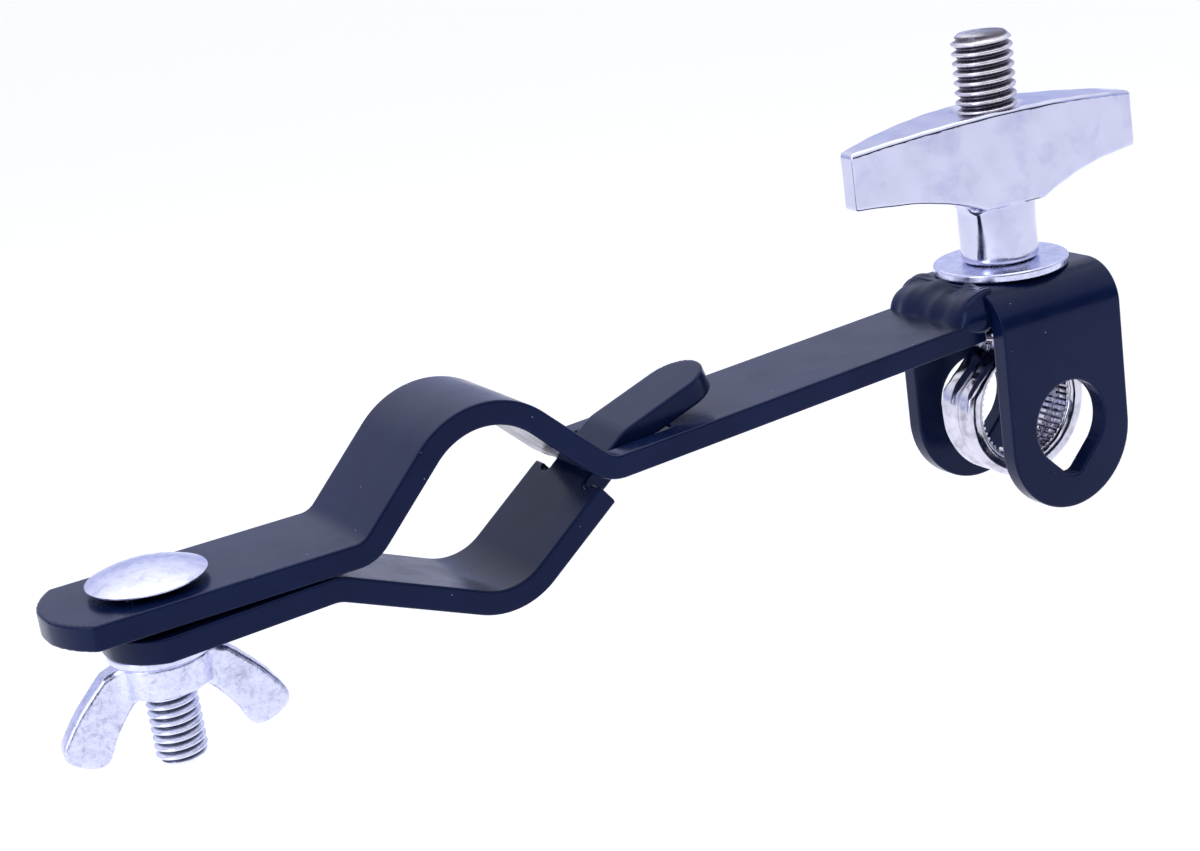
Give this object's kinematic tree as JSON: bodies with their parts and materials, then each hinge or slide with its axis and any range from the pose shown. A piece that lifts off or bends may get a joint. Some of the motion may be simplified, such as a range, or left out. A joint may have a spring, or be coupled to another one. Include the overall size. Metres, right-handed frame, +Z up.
{
  "type": "pipe clamp with arm and rod holder",
  "caption": "Flat-bar clamp that grips a tube with a wing nut and holds a rod in an eye bolt at the end of its arm.",
  "frame": {"origin": "middle of the gripped tube, on its axis and half way across the bar", "axes": "+X along the arm from the clamp bolt towards the rod bracket, +Y along the gripped tube, +Z up along the clamp bolt towards its head"},
  "size_m": [0.1544, 0.0222, 0.0618],
  "materials": {
    "black_paint": "satin black stove enamel on strip steel",
    "zinc": "bright zinc plate",
    "cast_zinc": "zinc-plated casting, slightly grainy",
    "chrome": "chrome plate over a polished casting",
    "eye_metal": "nickel-plated casting"
  },
  "bodies": {
    "frame": {"upper_jaw_arm": "black_paint", "carriage_bolt": "zinc", "weld_bead": "black_paint", "rod_bracket": "black_paint", "flat_washer": "zinc"},
    "lower_jaw": {"lower_jaw": "black_paint"},
    "washer": {"plain_washer": "zinc"},
    "wing_nut": {"wing_nut": "cast_zinc"},
    "eye_bolt": {"eye_bolt": "eye_metal"},
    "t_nut": {"t_nut": "chrome"}
  },
  "joints": [
    {"name": "jaw_swing", "type": "hinge", "parent": "frame", "child": "lower_jaw", "pos_m": [0.0162, 0, -0.0013], "axis": [0, -1, 0], "range_deg": [0, 7.5]},
    {"name": "washer_slide", "type": "slide", "parent": "frame", "child": "washer", "axis": [0, 0, -1], "range_m": [0, 0.0084]},
    {"name": "wing_nut_turn", "type": "hinge", "parent": "washer", "child": "wing_nut", "pos_m": [-0.0388, 0, -0.0088], "axis": [0, 0, -1], "range_deg": [0, 3024]},
    {"name": "eye_slide", "type": "slide", "parent": "frame", "child": "eye_bolt", "axis": [0, 0, 1], "range_m": [-0.006, 0.003]},
    {"name": "t_nut_turn", "type": "hinge", "parent": "frame", "child": "t_nut", "pos_m": [0.0812, 0, 0.02], "axis": [0, 0, 1], "range_deg": [-864, 1728]}
  ],
  "couplings": [
    {"joint": "wing_nut_turn", "follows": "washer_slide", "rad_per_m": 6283.2},
    {"joint": "jaw_swing", "follows": "washer_slide", "rad_per_m": 15.376},
    {"joint": "t_nut_turn", "follows": "eye_slide", "rad_per_m": -5026.5}
  ]
}
